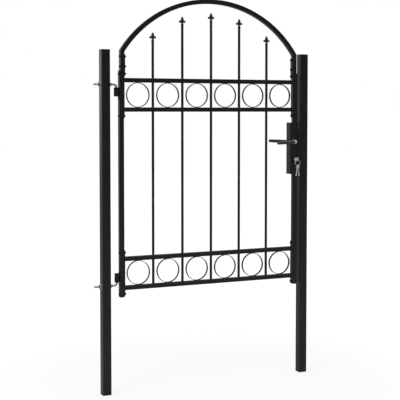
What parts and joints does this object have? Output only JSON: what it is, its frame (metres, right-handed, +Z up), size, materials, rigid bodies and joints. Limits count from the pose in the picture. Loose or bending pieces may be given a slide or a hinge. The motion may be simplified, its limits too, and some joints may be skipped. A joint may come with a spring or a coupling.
{
  "type": "garden gate",
  "caption": "Arched steel garden gate hung between two square posts, with ring-filled panels, spear-topped bars, a lever latch and a keyed dead bolt.",
  "frame": {"origin": "middle of the base of the box round the whole gate, level with the feet of the posts", "axes": "+Z up, +X from the hinge post to the lock post along the gate, +Y from the front, where the keep's stop lip is, to the back, the side that the leaf opens to"},
  "size_m": [1.089, 0.1106, 1.792],
  "materials": {
    "black_powder_coat": "semi-gloss black powder coat",
    "post_cap_plastic": "fine-grained black moulding",
    "zinc_plating": "bright zinc plating",
    "black_zinc": "black zinc plating",
    "lever_coat": "dark satin lacquer on cast levers",
    "satin_nickel": "satin nickel"
  },
  "bodies": {
    "posts": {"hinge_post": "black_powder_coat", "lock_post": "black_powder_coat", "hinge_post_cap": "post_cap_plastic", "lock_post_cap": "post_cap_plastic", "upper_hook_bolt": "zinc_plating", "upper_outer_nut": "zinc_plating", "upper_inner_nut": "zinc_plating", "lower_hook_bolt": "zinc_plating", "lower_outer_nut": "zinc_plating", "lower_inner_nut": "zinc_plating", "keep": "black_powder_coat"},
    "leaf": {"hinge_stile": "black_powder_coat", "lock_stile_upper": "black_powder_coat", "lock_stile_lower": "black_powder_coat", "arch": "black_powder_coat", "upper_panel_frame": "black_powder_coat", "lower_panel_frame": "black_powder_coat", "hinge_side_arch_strap": "black_powder_coat", "hinge_side_bolt_1": "black_zinc", "hinge_side_bolt_2": "black_zinc", "hinge_side_bolt_3": "black_zinc", "hinge_side_bolt_4": "black_zinc", "hinge_side_bolt_5": "black_zinc", "hinge_side_bolt_6": "black_zinc", "lock_side_arch_strap": "black_powder_coat", "lock_side_bolt_1": "black_zinc", "lock_side_bolt_2": "black_zinc", "lock_side_bolt_3": "black_zinc", "lock_side_bolt_4": "black_zinc", "lock_side_bolt_5": "black_zinc", "lock_side_bolt_6": "black_zinc", "bar_1": "black_powder_coat", "bar_2": "black_powder_coat", "bar_3": "black_powder_coat", "bar_4": "black_powder_coat", "bar_5": "black_powder_coat", "upper_ring_1": "black_powder_coat", "lower_ring_1": "black_powder_coat", "upper_ring_2": "black_powder_coat", "lower_ring_2": "black_powder_coat", "upper_ring_3": "black_powder_coat", "lower_ring_3": "black_powder_coat", "upper_ring_4": "black_powder_coat", "lower_ring_4": "black_powder_coat", "upper_ring_5": "black_powder_coat", "lower_ring_5": "black_powder_coat", "upper_ring_6": "black_powder_coat", "lower_ring_6": "black_powder_coat", "upper_barrel": "black_powder_coat", "lower_barrel": "black_powder_coat", "lock_box": "black_powder_coat", "lock_cylinder": "satin_nickel"},
    "levers": {"front_lever": "lever_coat", "back_lever": "lever_coat"},
    "latch": {"latch_bolt": "satin_nickel"},
    "dead_bolt": {"dead_bolt": "satin_nickel"},
    "key": {"key": "satin_nickel", "cylinder_plug": "satin_nickel"},
    "key_ring": {"key_ring": "satin_nickel", "spare_keys": "satin_nickel"}
  },
  "joints": [
    {"name": "leaf_hinge", "type": "hinge", "parent": "posts", "child": "leaf", "pos_m": [-0.4368, 0.00725, 0.944], "axis": [0, 0, 1], "range_deg": [0, 105]},
    {"name": "lever_turn", "type": "hinge", "parent": "leaf", "child": "levers", "pos_m": [0.4698, 0.00725, 1.1286], "axis": [0, -1, 0], "range_deg": [0, 35], "stiffness_Nm_per_rad": 0.9, "springref_deg": -34.38},
    {"name": "latch_slide", "type": "slide", "parent": "leaf", "child": "latch", "axis": [-1, 0, 0], "range_m": [0, 0.0096]},
    {"name": "key_turn", "type": "hinge", "parent": "leaf", "child": "key", "pos_m": [0.4698, -0.02275, 1.0456], "axis": [0, 1, 0], "range_deg": [0, 360]},
    {"name": "dead_bolt_slide", "type": "slide", "parent": "leaf", "child": "dead_bolt", "axis": [1, 0, 0], "range_m": [0, 0.0111]},
    {"name": "key_ring_swing", "type": "hinge", "parent": "key", "child": "key_ring", "pos_m": [0.4698, -0.04525, 1.0456], "axis": [-1, 0, 0], "range_deg": [0, 75]}
  ],
  "couplings": [
    {"joint": "latch_slide", "follows": "lever_turn", "m_per_rad": 0.01555},
    {"joint": "dead_bolt_slide", "follows": "key_turn", "m_per_rad": 0.00175}
  ]
}
